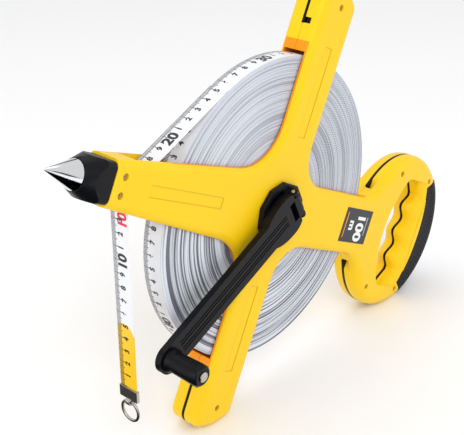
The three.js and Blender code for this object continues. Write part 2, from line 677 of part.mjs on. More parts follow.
part("crank_hub", crankHub.rotate(turnCrank), "black");
part("hub_screw", turned([
  [0, pocketFloor - GAP - hubScrewHeight],
  [hubScrewRadius - 0.9, pocketFloor - GAP - hubScrewHeight],
  [hubScrewRadius, pocketFloor - GAP - hubScrewHeight + 0.9], [hubScrewRadius, pocketFloor - GAP],
  [SCREW_SHANK_RADIUS, pocketFloor - GAP], [SCREW_SHANK_RADIUS, faceY + 2 - GAP],
  [0, faceY + 2 - GAP],
], 24), "steel");

const armShape = new THREE.Shape();
const shoulder = CRANK_ROOT_RADIUS + 5;
armShape.moveTo(0, -CRANK_ROOT_RADIUS);
armShape.quadraticCurveTo(CRANK_ROOT_RADIUS * 0.8, -CRANK_ROOT_RADIUS, shoulder, -CRANK_HALF_WIDTH);
armShape.lineTo(CRANK_THROW, -CRANK_END_HALF_WIDTH);
armShape.absarc(CRANK_THROW, 0, CRANK_END_HALF_WIDTH, -Math.PI / 2, Math.PI / 2, false);
armShape.lineTo(shoulder, CRANK_HALF_WIDTH);
armShape.quadraticCurveTo(CRANK_ROOT_RADIUS * 0.8, CRANK_ROOT_RADIUS, 0, CRANK_ROOT_RADIUS);
armShape.absarc(0, 0, CRANK_ROOT_RADIUS, Math.PI / 2, 1.5 * Math.PI, false);
const barrel = solid(
  new THREE.CylinderGeometry(barrelRadius, barrelRadius, 60, 24)
    .rotateX(Math.PI / 2).translate(hingeX, hingeY, 0),
);
const rootTrim = box(-60, hingeX, -60, 0, -40, 40).subtract(barrel);
const earClear = hingeX + barrelRadius + GAP;
const earRoom = box(-60, earClear, -60, 0, earInner - GAP, 40);
const windowInner = HINGE_OFFSET - barrelRadius - 1.4;
const rootWindow = box(-windowInner, -3.4, -60, 0, -8.5, 8.5);
const grooveWidth = 1.1;
const grooveDepth = 0.8;
const grooveStart = 3;
const grooveEnd = CRANK_THROW - 12;
const rivetRadius = 2.2;
const rivetHeadRadius = 3.6;
let crankArm = prism(armShape, armFront, armBack, 16)
  .subtract(rootTrim)
  .subtract(earRoom)
  .subtract(mirrorZ(earRoom))
  .subtract(box(shoulder, CRANK_THROW + 40, beamBack, 0, -40, 40))
  .subtract(rootWindow)
  .subtract(pinBore)
  .subtract(rod(rivetRadius + GAP, -60, 0, CRANK_THROW, 0, 20))
  .subtract(rod(rivetHeadRadius + GAP, beamBack - 1.4, 0, CRANK_THROW, 0, 20));
for (const centre of [-3.1, 3.1]) {
  for (const side of [-1, 1]) {
    const z = centre + side * 1.25;
    crankArm = crankArm.subtract(
      box(grooveStart, grooveEnd, armFront - 5, armFront + grooveDepth,
        z - grooveWidth / 2, z + grooveWidth / 2),
    );
  }
}
part("crank_arm", crankArm.rotate(turnCrank), "black");
const hingePin = solid(
  new THREE.CylinderGeometry(HINGE_PIN_RADIUS, HINGE_PIN_RADIUS, 2 * earOuter + 0.6, 16)
    .rotateX(Math.PI / 2).translate(hingeX, hingeY, 0),
);
part("hinge_pin", hingePin.rotate(turnCrank), "steel");

const knobBack = armFront - GAP;
const knobFront = knobBack - KNOB_LENGTH;
const knob = turned([
  [rivetRadius + GAP, knobFront], [KNOB_RADIUS - 1.6, knobFront], [KNOB_RADIUS - 0.3, knobFront + 1.3],
  [KNOB_RADIUS, knobFront + 6], [KNOB_RADIUS - 0.6, knobBack - 5],
  [KNOB_RADIUS + 0.7, knobBack - 2.4], [KNOB_RADIUS + 0.7, knobBack],
  [rivetRadius + GAP, knobBack], [rivetRadius + GAP, knobFront],
], 40);
part("knob", knob.translate([CRANK_THROW, 0, 0]).rotate(turnCrank), "black");
const rivetFront = knobFront - GAP;
part("knob_rivet", turned([
  [0, rivetFront - 1.2], [rivetHeadRadius - 0.6, rivetFront - 1.1], [rivetHeadRadius, rivetFront - 0.5],
  [rivetHeadRadius, rivetFront], [rivetRadius, rivetFront],
  [rivetRadius, beamBack - 1.4 + GAP], [rivetHeadRadius, beamBack - 1.4 + GAP],
  [rivetHeadRadius, beamBack - 0.2], [0, beamBack - 0.2],
], 24).translate([CRANK_THROW, 0, 0]).rotate(turnCrank), "steel");

// ---------------------------------------------------------------- tape guide
const guideBore = guidePinRadius + GAP;
const rollerHalf = plateInner - 0.4;
const roller = ring(guideBore, GUIDE_RADIUS, -rollerHalf, rollerHalf, 36);
part("guide_roller", roller.translate([GUIDE_X, 0, GUIDE_Z]), "nylon");
const pinHalf = pinSeatY - GAP;
part("guide_pin", rod(guidePinRadius, -pinHalf, pinHalf, GUIDE_X, GUIDE_Z, 20), "steel");

// ---------------------------------------------------------------- tape
// The tape leaves the coil on a straight line, goes round the guide roller and
// hangs plumb. Its middle line is worked out with the reel already tilted.
const guide = new THREE.Vector2(GUIDE_X, GUIDE_Z).rotateAround(new THREE.Vector2(), -TILT);
const wrap = GUIDE_RADIUS + GAP + TAPE_THICKNESS / 2;
const leave = COIL_RADIUS + GAP + TAPE_THICKNESS / 2;
const normalAngle = guide.angle() - Math.acos((leave - wrap) / guide.length());
const normal = new THREE.Vector2(Math.cos(normalAngle), Math.sin(normalAngle));
const middle = [normal.clone().multiplyScalar(leave)];
const wrapSteps = 8;
for (let i = 0; i <= wrapSteps; i++) {
  const angle = THREE.MathUtils.lerp(normalAngle, Math.PI, i / wrapSteps);
  middle.push(new THREE.Vector2(Math.cos(angle), Math.sin(angle)).multiplyScalar(wrap).add(guide));
}
const exitZ = guide.y - GUIDE_TO_EXIT;
const hangX = guide.x - wrap;
middle.push(new THREE.Vector2(hangX, exitZ));

// A strip of tape along a middle line given from the coil outwards.
function strip(line) {
  const half = TAPE_THICKNESS / 2;
  const left = [];
  const right = [];
  line.forEach((p, i) => {
    const before = line[Math.max(0, i - 1)];
    const after = line[Math.min(line.length - 1, i + 1)];
    const side = after.clone().sub(before).normalize().rotateAround(new THREE.Vector2(), Math.PI / 2);
    left.push(p.clone().addScaledVector(side, half));
    right.unshift(p.clone().addScaledVector(side, -half));
  });
  return prism(new THREE.Shape([...left, ...right]), -TAPE_WIDTH / 2, TAPE_WIDTH / 2);
}
part("tape_lead", strip(middle), "tape", plumb);
const hangSteps = 6;
const hangTop = exitZ - GAP;
const hangEnd = hangTop - HANGING_LENGTH;
const hanging = [];
for (let i = 0; i <= hangSteps; i++) {
  const z = THREE.MathUtils.lerp(hangTop, hangEnd, i / hangSteps);
  hanging.push(new THREE.Vector2(hangX, z));
}
part("tape_end", strip(hanging), "tape", plumb);

// end clasp folded over the tape, with an eye for the pull ring
const claspTop = hangEnd - GAP;
const claspHeight = 9;
const claspHalfThickness = 1.3;
const claspHalfWidth = TAPE_WIDTH / 2 + 0.6;
const eyeRadius = 3;
const eyeBore = 1.7;
const eyeHalf = 2;
const eyeZ = claspTop - claspHeight - eyeRadius + 0.6;
const ringTube = 1.1;
const ringRadius = 8;
const clasp = box(
  hangX - claspHalfThickness, hangX + claspHalfThickness,
  -claspHalfWidth, claspHalfWidth, claspTop - claspHeight, claspTop,
)
  .add(rod(eyeRadius, -eyeHalf, eyeHalf, hangX, eyeZ, 24))
  .subtract(rod(eyeBore, -20, 20, hangX, eyeZ, 20));
part("end_clasp", clasp, "steel", plumb);
const pullRing = new THREE.TorusGeometry(ringRadius, ringTube, 10, 40);
part(
  "end_ring",
  solid(pullRing.rotateY(Math.PI / 2).translate(hangX, 0, eyeZ - ringRadius)),
  "steel",
  plumb,
);

// ---------------------------------------------------------------- stand it up
reel.rotation.y = TILT;
const object = new THREE.Group();
object.add(reel);
object.updateMatrixWorld(true);
const extent = new THREE.Box3().setFromObject(reel, true);
const middleX = (extent.min.x + extent.max.x) / 2;
const middleY = (extent.min.y + extent.max.y) / 2;
for (const group of [reel, plumb]) {
  group.position.set(-middleX, -middleY, -extent.min.z);
  object.add(group);
}

export default object;
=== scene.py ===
import random
from math import atan2, ceil, cos, hypot, pi, radians, sin

import bmesh
import bpy
from mathutils import Matrix, Vector


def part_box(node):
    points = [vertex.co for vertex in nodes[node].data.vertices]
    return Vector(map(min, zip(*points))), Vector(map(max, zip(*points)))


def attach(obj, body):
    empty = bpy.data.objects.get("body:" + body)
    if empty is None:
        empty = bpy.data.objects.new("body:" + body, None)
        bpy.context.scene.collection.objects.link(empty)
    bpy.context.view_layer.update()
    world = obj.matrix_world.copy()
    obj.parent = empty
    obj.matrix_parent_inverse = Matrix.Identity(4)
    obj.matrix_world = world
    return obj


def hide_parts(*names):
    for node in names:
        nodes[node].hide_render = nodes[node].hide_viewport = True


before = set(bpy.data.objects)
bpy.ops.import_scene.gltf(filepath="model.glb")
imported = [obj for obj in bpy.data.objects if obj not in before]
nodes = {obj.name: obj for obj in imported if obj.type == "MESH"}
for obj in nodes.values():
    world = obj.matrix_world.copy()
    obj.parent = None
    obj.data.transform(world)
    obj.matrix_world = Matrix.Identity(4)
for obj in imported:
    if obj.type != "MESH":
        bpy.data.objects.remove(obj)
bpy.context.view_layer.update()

# ------------------------------------------------------------ frame shells
# Two moulded halves of yellow ABS, screwed together through the arm ends and
# the handle. Satin, with a very fine spark-eroded grain and broken edges.
TILT = radians(26)
drum_low, drum_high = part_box("drum_flange")
front_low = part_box("front_shell")[0]
rear_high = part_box("rear_shell")[1]
hub = (drum_low + drum_high) / 2
hub.y = (front_low.y + rear_high.y) / 2
standing = Matrix.Translation(hub) @ Matrix.Rotation(TILT, 4, "Y")


class Value:
    """A shader socket that takes part in ordinary sums."""

    def __init__(self, finish, socket):
        self.finish = finish
        self.socket = socket

    def maths(self, operation, *terms):
        settings = {"operation": operation}
        return self.finish.value("ShaderNodeMath", settings, dict(enumerate(terms)))

    def __add__(self, other):
        return self.maths("ADD", self, other)

    def __sub__(self, other):
        return self.maths("SUBTRACT", self, other)

    def __rsub__(self, other):
        return self.maths("SUBTRACT", other, self)

    def __mul__(self, other):
        return self.maths("MULTIPLY", self, other)

    def __truediv__(self, other):
        return self.maths("DIVIDE", self, other)

    def __gt__(self, other):
        return self.maths("GREATER_THAN", self, other)

    def __lt__(self, other):
        return self.maths("LESS_THAN", self, other)

    __radd__ = __add__
    __rmul__ = __mul__

    def size(self):
        return self.maths("ABSOLUTE", self)

    def root(self):
        return self.maths("SQRT", self)

    def wave(self):
        return self.maths("SINE", self)

    def at_least(self, bound):
        return self.maths("MAXIMUM", self, bound)

    def at_most(self, bound):
        return self.maths("MINIMUM", self, bound)


class Finish:
    """A material on one Principled shader, with its own values set first."""

    def __init__(self, name, colour, roughness, **sockets):
        self.material = bpy.data.materials.new(name)
        self.material.use_nodes = True
        self.tree = self.material.node_tree
        self.shader = self.tree.nodes["Principled BSDF"]
        self.shader.inputs["Base Color"].default_value = (*colour, 1)
        self.shader.inputs["Roughness"].default_value = roughness
        for socket, setting in sockets.items():
            self.shader.inputs[socket.replace("_", " ")].default_value = setting

    def node(self, kind, settings, inputs):
        made = self.tree.nodes.new(kind)
        for name, setting in settings.items():
            setattr(made, name, setting)
        for name, given in inputs.items():
            if isinstance(given, Value):
                self.tree.links.new(given.socket, made.inputs[name])
            else:
                made.inputs[name].default_value = given
        return made

    def value(self, kind, settings, inputs, output=0):
        return Value(self, self.node(kind, settings, inputs).outputs[output])

    def place(self, centre=(0, 0, 0)):
        point = self.value("ShaderNodeTexCoord", {}, {}, "Object")
        shift = [-c for c in centre]
        return self.value("ShaderNodeMapping", {}, {"Vector": point, "Location": shift})

    def axes(self, point):
        split = self.node("ShaderNodeSeparateXYZ", {}, {"Vector": point})
        return [Value(self, socket) for socket in split.outputs]

    def noise(self, point, scale, detail=3.0):
        inputs = {"Vector": point, "Scale": scale, "Detail": detail}
        return self.value("ShaderNodeTexNoise", {}, inputs)

    def mix(self, factor, first, second):
        made = self.node("ShaderNodeMix", {"data_type": "RGBA"}, {0: factor})
        for index, colour in ((6, first), (7, second)):
            if isinstance(colour, Value):
                self.tree.links.new(colour.socket, made.inputs[index])
            else:
                made.inputs[index].default_value = (*colour, 1)
        return Value(self, made.outputs[2])

    def feed(self, socket, given):
        self.tree.links.new(given.socket, self.shader.inputs[socket])

    def bump(self, height, strength, distance):
        inputs = {"Height": height, "Strength": strength, "Distance": distance}
        self.feed("Normal", self.value("ShaderNodeBump", {}, inputs))


def welded(node):
    """A bmesh copy of a CAD node with its loose triangles joined."""
    solid = bmesh.new()
    solid.from_mesh(nodes[node].data)
    bmesh.ops.remove_doubles(solid, verts=solid.verts, dist=2e-6)
    bmesh.ops.dissolve_limit(
        solid, angle_limit=radians(0.6), verts=solid.verts, edges=solid.edges
    )
    return solid


def shown(name, solid, finish, smooth=38):
    """A mesh object of that finish, smooth except over sharper edges."""
    mesh = bpy.data.meshes.new(name)
    solid.to_mesh(mesh)
    solid.free()
    mesh.shade_smooth()
    mesh.set_sharp_from_angle(angle=radians(smooth))
    mesh.materials.append(finish.material)
    piece = bpy.data.objects.new(name, mesh)
    bpy.context.scene.collection.objects.link(piece)
    return piece


def dressed(node, name, finish, body, edge=0.0, smooth=38):
    """A CAD node's shape with its sharp edges broken by `edge` metres."""
    piece = shown(name, welded(node), finish, smooth)
    if edge:
        bevel = piece.modifiers.new("edges", "BEVEL")
        bevel.width = edge
        bevel.segments = 2
        bevel.limit_method = "ANGLE"
        bevel.angle_limit = radians(55)
    even = piece.modifiers.new("even shading", "WEIGHTED_NORMAL")
    even.keep_sharp = True
    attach(piece, body)
    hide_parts(node)
    return piece


PANEL_HALF_WIDTH = 0.004
ARM_PANEL_MIDDLE, ARM_PANEL_HALF = 0.092, 0.034
SPIKE_PANEL_MIDDLE, SPIKE_PANEL_HALF = -0.105, 0.037
PANEL_LINE = 0.0004
WELL_RADIUS, WELL_HALF = 0.127, 0.0106
BROKEN_EDGE = 0.0005
yellow = Finish("yellow abs", (0.94, 0.60, 0.003), 0.36, Specular_IOR_Level=0.28)
grain = yellow.noise(yellow.place(), 2600.0, 2.0)
tone = yellow.noise(yellow.place(), 14.0)
x, y, z = yellow.axes(yellow.place(hub))
along_arm = x * cos(TILT) - z * sin(TILT)
up_arm = x * sin(TILT) + z * cos(TILT)


def outline(run, middle, half, other):
    """How far a point lies from the outline of a panel sunk in an arm."""
    past_end = (run - middle).size() - half
    past_side = other.size() - PANEL_HALF_WIDTH
    return past_end.at_least(past_side).size()


arms = outline(up_arm.size(), ARM_PANEL_MIDDLE, ARM_PANEL_HALF, along_arm)
spike_arm = outline(along_arm, SPIKE_PANEL_MIDDLE, SPIKE_PANEL_HALF, up_arm)
# Painted shade: a thin darker line is painted round each sunk panel, where its edge lies in
# shade.
panel_edge_shade = arms.at_most(spike_arm) < PANEL_LINE
skin = yellow.mix(tone, (0.91, 0.57, 0.002), (0.97, 0.63, 0.004))
skin = yellow.mix(panel_edge_shade * 0.35, skin, (0.50, 0.25, 0.0))
# The walls that face the coil glow orange with light thrown back between them.
reach = (x * x + z * z).root()
well = (reach < WELL_RADIUS) * (y.size() < WELL_HALF)
skin = yellow.mix(well, skin, (0.95, 0.30, 0.0))
yellow.feed("Base Color", skin)
yellow.feed("Roughness", 0.30 + tone * 0.12)
yellow.bump(grain, 0.12, 0.0002)
for node, name in (("front_shell", "frame_front_half"), ("rear_shell", "frame_rear_half")):
    dressed(node, name, yellow, "frame", BROKEN_EDGE)

# ------------------------------------------------------------ black inserts
# Black nylon strips clamped in the parting line of the handle and the arm
# ends. Moulded, matt, with a fine grain.
black = Finish("black nylon", (0.0035, 0.0038, 0.0058), 0.34, Specular_IOR_Level=0.17)
speckle = black.noise(black.place(), 1800.0, 2.0)
wear = black.noise(black.place(), 60.0)
black.feed("Roughness", 0.28 + wear * 0.14)
black.bump(speckle, 0.2, 0.0002)
for node in ("handle_core", "arm_core_top", "arm_core_bottom"):
    dressed(node, node + "_strip", black, "frame")

# ------------------------------------------------------------ rubber grip
# Soft black rubber moulded round the outside of the handle bar. Rows of low
# round studs stand on its two faces to stop the palm slipping.
GRIP_STUD = 0.0009
STUD_FLATNESS = 0.45
DROP_REACH = 0.05
rubber = Finish("grip rubber", (0.008, 0.009, 0.012), 0.62, Specular_IOR_Level=0.3)
dust = rubber.noise(rubber.place(), 900.0)
soft_black = rubber.mix(dust, (0.0045, 0.005, 0.008), (0.008, 0.009, 0.014))
rubber.feed("Base Color", soft_black)
rubber.feed("Roughness", 0.55 + dust * 0.2)
rubber.bump(dust, 0.25, 0.0003)
grip = dressed("rubber_grip", "grip_sleeve", rubber, "frame", 0.0004)


def stud_tree(finish):
    """Drops each point along Y on to a surface and leaves a low dome there."""
    tree = bpy.data.node_groups.new("studs on a surface", "GeometryNodeTree")
    face = tree.interface
    face.new_socket("Points", in_out="INPUT", socket_type="NodeSocketGeometry")
    face.new_socket("Surface", in_out="INPUT", socket_type="NodeSocketObject")
    face.new_socket("Radius", in_out="INPUT", socket_type="NodeSocketFloat")
    face.new_socket("Direction", in_out="INPUT", socket_type="NodeSocketVector")
    face.new_socket("Studs", in_out="OUTPUT", socket_type="NodeSocketGeometry")
    made = {}
    for name, kind in (
        ("in", "NodeGroupInput"), ("surface", "GeometryNodeObjectInfo"),
        ("drop", "GeometryNodeRaycast"), ("move", "GeometryNodeSetPosition"),
        ("turn", "FunctionNodeAlignRotationToVector"),
        ("dome", "GeometryNodeMeshIcoSphere"), ("copy", "GeometryNodeInstanceOnPoints"),
        ("real", "GeometryNodeRealizeInstances"), ("paint", "GeometryNodeSetMaterial"),
        ("miss", "FunctionNodeBooleanMath"), ("clear", "GeometryNodeDeleteGeometry"),
        ("out", "NodeGroupOutput"), ("flat", "ShaderNodeCombineXYZ"),
    ):
        made[name] = tree.nodes.new(kind)
    made["turn"].axis = "Z"
    made["miss"].operation = "NOT"
    made["dome"].inputs["Subdivisions"].default_value = 2
    for axis, share in (("X", 1), ("Y", 1), ("Z", STUD_FLATNESS)):
        made["flat"].inputs[axis].default_value = share
    made["drop"].inputs["Ray Length"].default_value = DROP_REACH
    made["paint"].inputs["Material"].default_value = finish.material
    for source, output, target, entry in (
        ("in", "Points", "clear", "Geometry"), ("in", "Surface", "surface", "Object"),
        ("surface", "Geometry", "drop", "Target Geometry"),
        ("in", "Direction", "drop", "Ray Direction"),
        ("drop", "Is Hit", "miss", 0), ("miss", 0, "clear", "Selection"),
        ("clear", "Geometry", "move", "Geometry"),
        ("drop", "Hit Position", "move", "Position"),
        ("drop", "Hit Normal", "turn", "Vector"), ("in", "Radius", "dome", "Radius"),
        ("move", "Geometry", "copy", "Points"), ("dome", "Mesh", "copy", "Instance"),
        ("turn", "Rotation", "copy", "Rotation"), ("flat", "Vector", "copy", "Scale"),
        ("copy", "Instances", "real", "Geometry"), ("real", "Geometry", "paint", "Geometry"),
        ("paint", "Geometry", "out", "Studs"),
    ):
        tree.links.new(made[source].outputs[output], made[target].inputs[entry])
    return tree


def settled(seed, name):
    """The modifier's result as a plain mesh object; the seed object goes."""
    bpy.context.view_layer.update()
    evaluated = seed.evaluated_get(bpy.context.evaluated_depsgraph_get())
    mesh = bpy.data.meshes.new_from_object(evaluated)
    bpy.data.objects.remove(seed)
    mesh.shade_smooth()
    piece = bpy.data.objects.new(name, mesh)
    bpy.context.scene.collection.objects.link(piece)
    return piece


GRIP_CENTRE = 0.1962
STUD_PITCH = 0.0034
STUD_ROWS = ((0.0455, 0.0598), (0.0495, 0.0617), (0.0535, 0.0636))
STUD_ARC = radians(52)
STUD_START = 0.03
studs = stud_tree(rubber)
entry = {item.name: item.identifier for item in studs.interface.items_tree}
for name, side in (("grip_studs_front", -1), ("grip_studs_rear", 1)):
    points = []
    for row, (long, wide) in enumerate(STUD_ROWS):
        count = int(2 * STUD_ARC * long / STUD_PITCH) + 4
        for k in range(count):
            angle = -STUD_ARC + 2 * STUD_ARC * (k + 0.5 * (row % 2)) / count
            along = GRIP_CENTRE + long * cos(angle)
            spot = Vector((along, side * STUD_START, wide * sin(angle)))
            points.append(standing @ spot)
    mesh = bpy.data.meshes.new(name)
    mesh.from_pydata(points, [], [])
    seed = bpy.data.objects.new(name, mesh)
    bpy.context.scene.collection.objects.link(seed)
    modifier = seed.modifiers.new("studs", "NODES")
    modifier.node_group = studs
    modifier[entry["Surface"]] = grip
    modifier[entry["Radius"]] = GRIP_STUD
    modifier[entry["Direction"]] = (0.0, -side * 1.0, 0.0)
    bank = settled(seed, name)
    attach(bank, "frame")

# ------------------------------------------------------------ ground spike
# Turned steel cone, bright chrome plated, on a shank in the black socket.
# The plating is smooth, with faint turning marks.
chrome = Finish("chrome plate", (0.80, 0.81, 0.83), 0.10, Metallic=1.0)
turning = chrome.noise(chrome.place(), 500.0)
chrome.feed("Roughness", 0.07 + turning * 0.08)
SPIKE_TIP, SPIKE_BASE, SPIKE_RADIUS = -0.220, -0.197, 0.0098
SHANK_END, SHANK_RADIUS = -0.180, 0.005
TIP_ROUND = ((0.0, 0.0), (0.0001, 0.00025), (0.0006, 0.0006))
RIM_BREAK = 0.0002


def turned(name, profile, finish, place, segments=96, smooth=35):
    """A part turned about its own X axis from [x, radius] pairs."""
    solid = bmesh.new()
    rings = []
    for x, radius in profile:
        if radius == 0:
            rings.append([solid.verts.new((x, 0, 0))])
            continue
        ring = []
        for k in range(segments):
            angle = 2 * pi * k / segments
            ring.append(solid.verts.new((x, radius * cos(angle), radius * sin(angle))))
        rings.append(ring)
    for first, second in zip(rings, rings[1:]):
        for k in range(segments):
            loop = [first[k % len(first)], first[(k + 1) % len(first)]]
            loop += [second[(k + 1) % len(second)], second[k % len(second)]]
            solid.faces.new(list(dict.fromkeys(loop)))
    bmesh.ops.recalc_face_normals(solid, faces=solid.faces)
    solid.transform(place)
    return shown(name, solid, finish, smooth)


spike = turned(
    "ground_spike",
    [
        *((SPIKE_TIP + along, radius) for along, radius in TIP_ROUND),
        (SPIKE_BASE - 0.0008, SPIKE_RADIUS - RIM_BREAK), (SPIKE_BASE - 0.0003, SPIKE_RADIUS),
        (SPIKE_BASE, SPIKE_RADIUS - RIM_BREAK), (SPIKE_BASE, SHANK_RADIUS),
        (SHANK_END, SHANK_RADIUS), (SHANK_END, 0),
    ],
    chrome, standing,
)
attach(spike, "frame")
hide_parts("spike")
dressed("spike_socket", "socket_block", black, "frame", 0.0006, 30)

# ------------------------------------------------------------ screws and pins
# Zinc-plated steel. The heads sit below the face, with a cross recess.
steel = Finish("plated steel", (0.52, 0.50, 0.46), 0.32, Metallic=1.0)
haze = steel.noise(steel.place(), 700.0)
steel.feed("Roughness", 0.24 + haze * 0.2)
brass = Finish("yellow zinc", (0.55, 0.40, 0.17), 0.30, Metallic=1.0)
stain = brass.noise(brass.place(), 600.0)
brass.feed("Roughness", 0.22 + stain * 0.2)
for node in sorted(nodes):
    if "screw_" in node:
        dressed(node, node + "_head", brass, "frame", 0.00015)
dressed("guide_pin", "guide_roller_pin", steel, "frame")
dressed("axle", "drum_axle", steel, "drum")
dressed("rear_screw", "retainer_screw", steel, "drum", 0.0003)
dressed("hub_screw", "crank_hub_screw", steel, "drum", 0.0002)
dressed("hinge_pin", "crank_hinge_pin", steel, "drum", 0.0002)

# ------------------------------------------------------------ bushes, guide
# Natural nylon: two plain bushes in the shells and the roller that turns the
# tape down through the arm.
nylon = Finish("natural nylon", (0.72, 0.70, 0.62), 0.45, Subsurface_Weight=0.1)
milk = nylon.noise(nylon.place(), 300.0)
nylon.feed("Roughness", 0.38 + milk * 0.15)
dressed("front_bush", "bush_front", nylon, "frame")
dressed("rear_bush", "bush_rear", nylon, "frame")
dressed("guide_roller", "tape_guide_roller", nylon, "guide", 0.0004)

# ------------------------------------------------------------ drum
# Black moulded spool with a flange on each side; only the rims show between
# the coil and the shells. A stepped cap holds it from the rear.
dressed("drum_spool", "spool_body", black, "drum", 0.0003)
dressed("drum_flange", "spool_flange", black, "drum", 0.0003)
dressed("rear_retainer", "spool_cap", black, "drum", 0.0004)

# ------------------------------------------------------------ crank
# Black glass-filled nylon: a ten-sided hub disc, an arm that folds about a
# steel pin and carries four grooves, and a knob that turns on a rivet.
dressed("crank_hub", "crank_hub_disc", black, "drum", 0.0004, 30)
dressed("crank_arm", "crank_folding_arm", black, "crank", 0.0004, 30)
dressed("knob_rivet", "crank_knob_rivet", steel, "crank", 0.0002)
dressed("knob", "crank_knob", black, "knob_grip", 0.0003)

# ------------------------------------------------------------ wound tape
# About 100 m of coated tape. The edges of the windings never lie quite level,
# so the side of the coil is a field of fine rings; their darker gaps are painted shade.
coil_low, coil_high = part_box("tape_coil")
COIL_RADIUS = (coil_high.x - coil_low.x) / 2
COIL_HALF = (coil_high.y - coil_low.y) / 2
CORE_RADIUS = 0.0323
WINDING = 0.0014
WINDING_SHARE = 0.90
GAP_DEPTH = 0.0006
UNEVEN = (0.00002, 0.00034)
RING_PITCH = 0.0019
KNOTS_PER_RADIAN = 260.0
wound = Finish("wound tape", (0.60, 0.61, 0.65), 0.42)
x, y, z = wound.axes(wound.place(hub))
radius = (x * x + z * z).root()
bearing = z.maths("ARCTAN2", z, x)
# Noise on the radius and a circle has no seam where the bearing starts again.
around = {"X": radius * 700.0, "Y": x / radius * 0.5, "Z": z / radius * 0.5}
polar = wound.value("ShaderNodeCombineXYZ", {}, around)
rings = wound.noise(polar, 1.0, 3.5)
fine = (radius * (2 * pi / RING_PITCH)).wave()
weave = (bearing * KNOTS_PER_RADIAN).wave()
knots = (fine * weave) > 0.25
patch = wound.noise(wound.place(), 9.0)
# Painted shade: the handle side of the coil is painted darker. Towards the lower left the
# coil is lighter, with stronger dark rings.
handle_side = ((x + 0.02) * 18.0).at_most(1.0).at_least(0.0)
low_side = ((0.0 - z - x * 0.8 + 0.02) * 16.0).at_most(1.0).at_least(0.0)
# Painted shade: thin dark rings are painted into the gaps between windings.
dark = ((0.54 - rings) * 8.0).at_least(0.0).at_most(1.0)
shade = 0.76 - dark * (0.26 + low_side * 0.50) - handle_side * 0.24
shade = shade + knots * (handle_side * 0.42 - 0.05) + low_side * 0.14
shade = (shade + (patch - 0.5) * 0.22).at_least(0.0).at_most(1.0)
wound.feed("Base Color", wound.mix(shade, (0.04, 0.045, 0.075), (0.84, 0.88, 0.97)))
wound.bump(rings + fine * 0.3, 0.5, 0.0004)
level = random.Random(4)
profile = []
count = ceil((COIL_RADIUS - CORE_RADIUS) / WINDING)
for side in (-1, 1):
    order = range(count) if side < 0 else range(count - 1, -1, -1)
    for k in order:
        start = CORE_RADIUS + k * WINDING
        height = side * (COIL_HALF - level.uniform(*UNEVEN))
        gap = side * (COIL_HALF - GAP_DEPTH)
        stop = min(start + WINDING * WINDING_SHARE, COIL_RADIUS)
        edge = [(height, start), (height, stop)]
        turn = [(gap, stop), (gap, min(start + WINDING, COIL_RADIUS))]
        if side > 0:
            edge.reverse()
            profile += [turn[1], turn[0]] + edge if k < count - 1 else edge
        else:
            profile += edge + (turn if k < count - 1 else [])
profile.append(profile[0])
quarter_turn = Matrix.Translation(hub) @ Matrix.Rotation(radians(90), 4, "Z")
coil = turned("tape_windings", profile, wound, quarter_turn, 128, 25)
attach(coil, "drum")
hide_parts("tape_coil")

# ------------------------------------------------------------ printed tape
# White coated tape, 16 mm wide, ticked in millimetres along its rear edge and
# numbered in centimetres. The first 5 cm carry a yellow ground. One length is
# the coil's outer turn, one runs taut to the guide, and one hangs free.
TAPE_HALF = 0.008
TAPE_THICKNESS = 0.0005
TAPE_GAP = 0.0003
GROUND_END = 5.15
printed = Finish("printed tape", (0.80, 0.81, 0.84), 0.33)
ruler = printed.value("ShaderNodeUVMap", {"uv_map": "ruler"}, {})
length, width = printed.axes(ruler)[:2]


def ticks(per_centimetre, half_line, start):
    """A line at each division, from `start` across the tape to its edge."""
    step = length * per_centimetre + 0.5
    away = step.maths("FRACT", step) - 0.5
    line = away.size() < half_line
    return line * (width > start)


marks = ticks(10, 0.27, 0.76)
marks = marks.at_least(ticks(2, 0.06, 0.70))
marks = marks.at_least(ticks(1, 0.034, 0.62))
front_edge = (0.45 - width).at_least(0.0)
rear_edge = (width - 0.70).at_least(0.0)
rounding = front_edge * front_edge * 3.5 + rear_edge * rear_edge * 3.9
ground = length < (GROUND_END - rounding)
soiling = printed.noise(printed.place(), 120.0)
paper = printed.mix(soiling, (0.76, 0.77, 0.80), (0.86, 0.87, 0.90))
paper = printed.mix(ground, paper, (0.93, 0.56, 0.003))
printed.feed("Base Color", printed.mix(marks, paper, (0.02, 0.02, 0.03)))
ink = Finish("black ink", (0.012, 0.012, 0.016), 0.4)
red_ink = Finish("red ink", (0.72, 0.02, 0.07), 0.4)

guide_low, guide_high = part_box("guide_roller")
guide = (guide_low + guide_high) / 2
end_low, end_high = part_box("tape_end")
lead_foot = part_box("tape_lead")[0].z
WRAP = (guide_high.x - guide_low.x) / 2 + TAPE_GAP + TAPE_THICKNESS / 2
LEAVE = COIL_RADIUS + TAPE_GAP + TAPE_THICKNESS / 2
across_x, across_z = guide.x - hub.x, guide.z - hub.z
span = hypot(across_x, across_z)
STRAIGHT = (span**2 - (LEAVE - WRAP) ** 2) ** 0.5
rise = atan2(across_z, across_x) - atan2(STRAIGHT, LEAVE - WRAP)
hang_x = guide.x - WRAP
TURN = pi - rise % (2 * pi)
DROP = guide.z - lead_foot
HANG_LENGTH = end_high.z - end_low.z
at_arm = HANG_LENGTH + TAPE_GAP
at_roller = at_arm + DROP
at_straight = at_roller + abs(TURN) * WRAP
at_coil = at_straight + STRAIGHT


